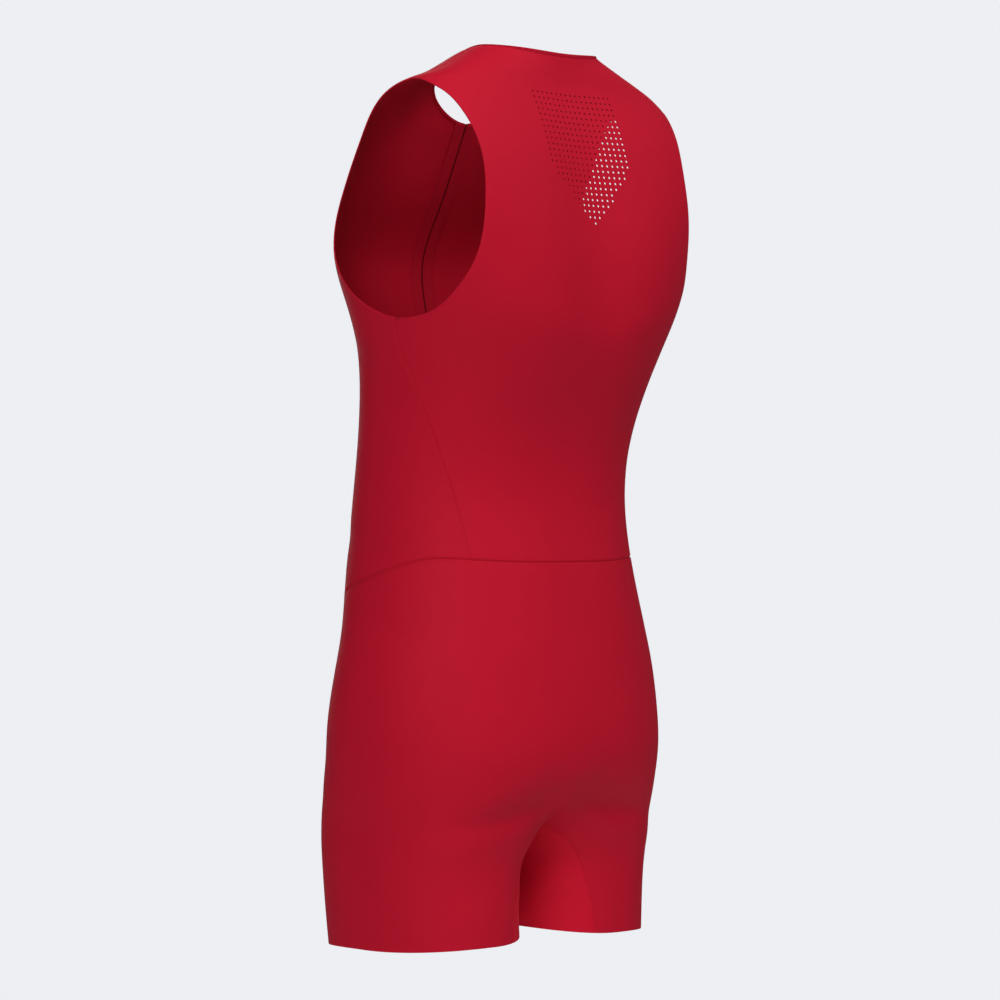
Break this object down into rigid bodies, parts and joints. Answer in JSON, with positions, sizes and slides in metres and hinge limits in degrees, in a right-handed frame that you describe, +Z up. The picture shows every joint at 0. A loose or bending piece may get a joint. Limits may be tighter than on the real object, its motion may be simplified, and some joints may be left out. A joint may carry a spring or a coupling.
{
  "type": "triathlon suit",
  "caption": "Sleeveless triathlon suit with fitted thigh-length shorts, a short front zip and a low neckband, filled out as when worn.",
  "frame": {"origin": "midway between the two points where the neck edge crosses the shoulders, where the wearer carries the suit", "axes": "+Z is up, the wearer faces -Y, the wearer's left is +X"},
  "size_m": [0.3398, 0.2719, 0.8474],
  "materials": {
    "back_bodice": "matt stretch knit",
    "front_bodice_left": "matt stretch knit",
    "front_bodice_right": "matt stretch knit",
    "inner_leg_gusset": "matt stretch knit",
    "neckband": "matt stretch knit",
    "shorts_panel": "matt stretch knit",
    "zip_coil": "dyed nylon",
    "zip_pull_tab": "enamelled",
    "zip_slider": "enamelled",
    "zip_tape_left": "woven tape",
    "zip_tape_right": "woven tape"
  },
  "bodies": {
    "suit": {"back_bodice": "back_bodice", "front_bodice_left": "front_bodice_left", "front_bodice_right": "front_bodice_right", "inner_leg_gusset": "inner_leg_gusset", "neckband": "neckband", "shorts_panel": "shorts_panel", "zip_coil": "zip_coil", "zip_slider": "zip_slider", "zip_tape_left": "zip_tape_left", "zip_tape_right": "zip_tape_right"},
    "pull_tab": {"zip_pull_tab": "zip_pull_tab"}
  },
  "joints": [
    {"name": "pull_tab_swing", "type": "hinge", "parent": "suit", "child": "pull_tab", "pos_m": [0, -0.11112, -0.06594], "axis": [-1, 0, 0], "range_deg": [0, 150]}
  ]
}
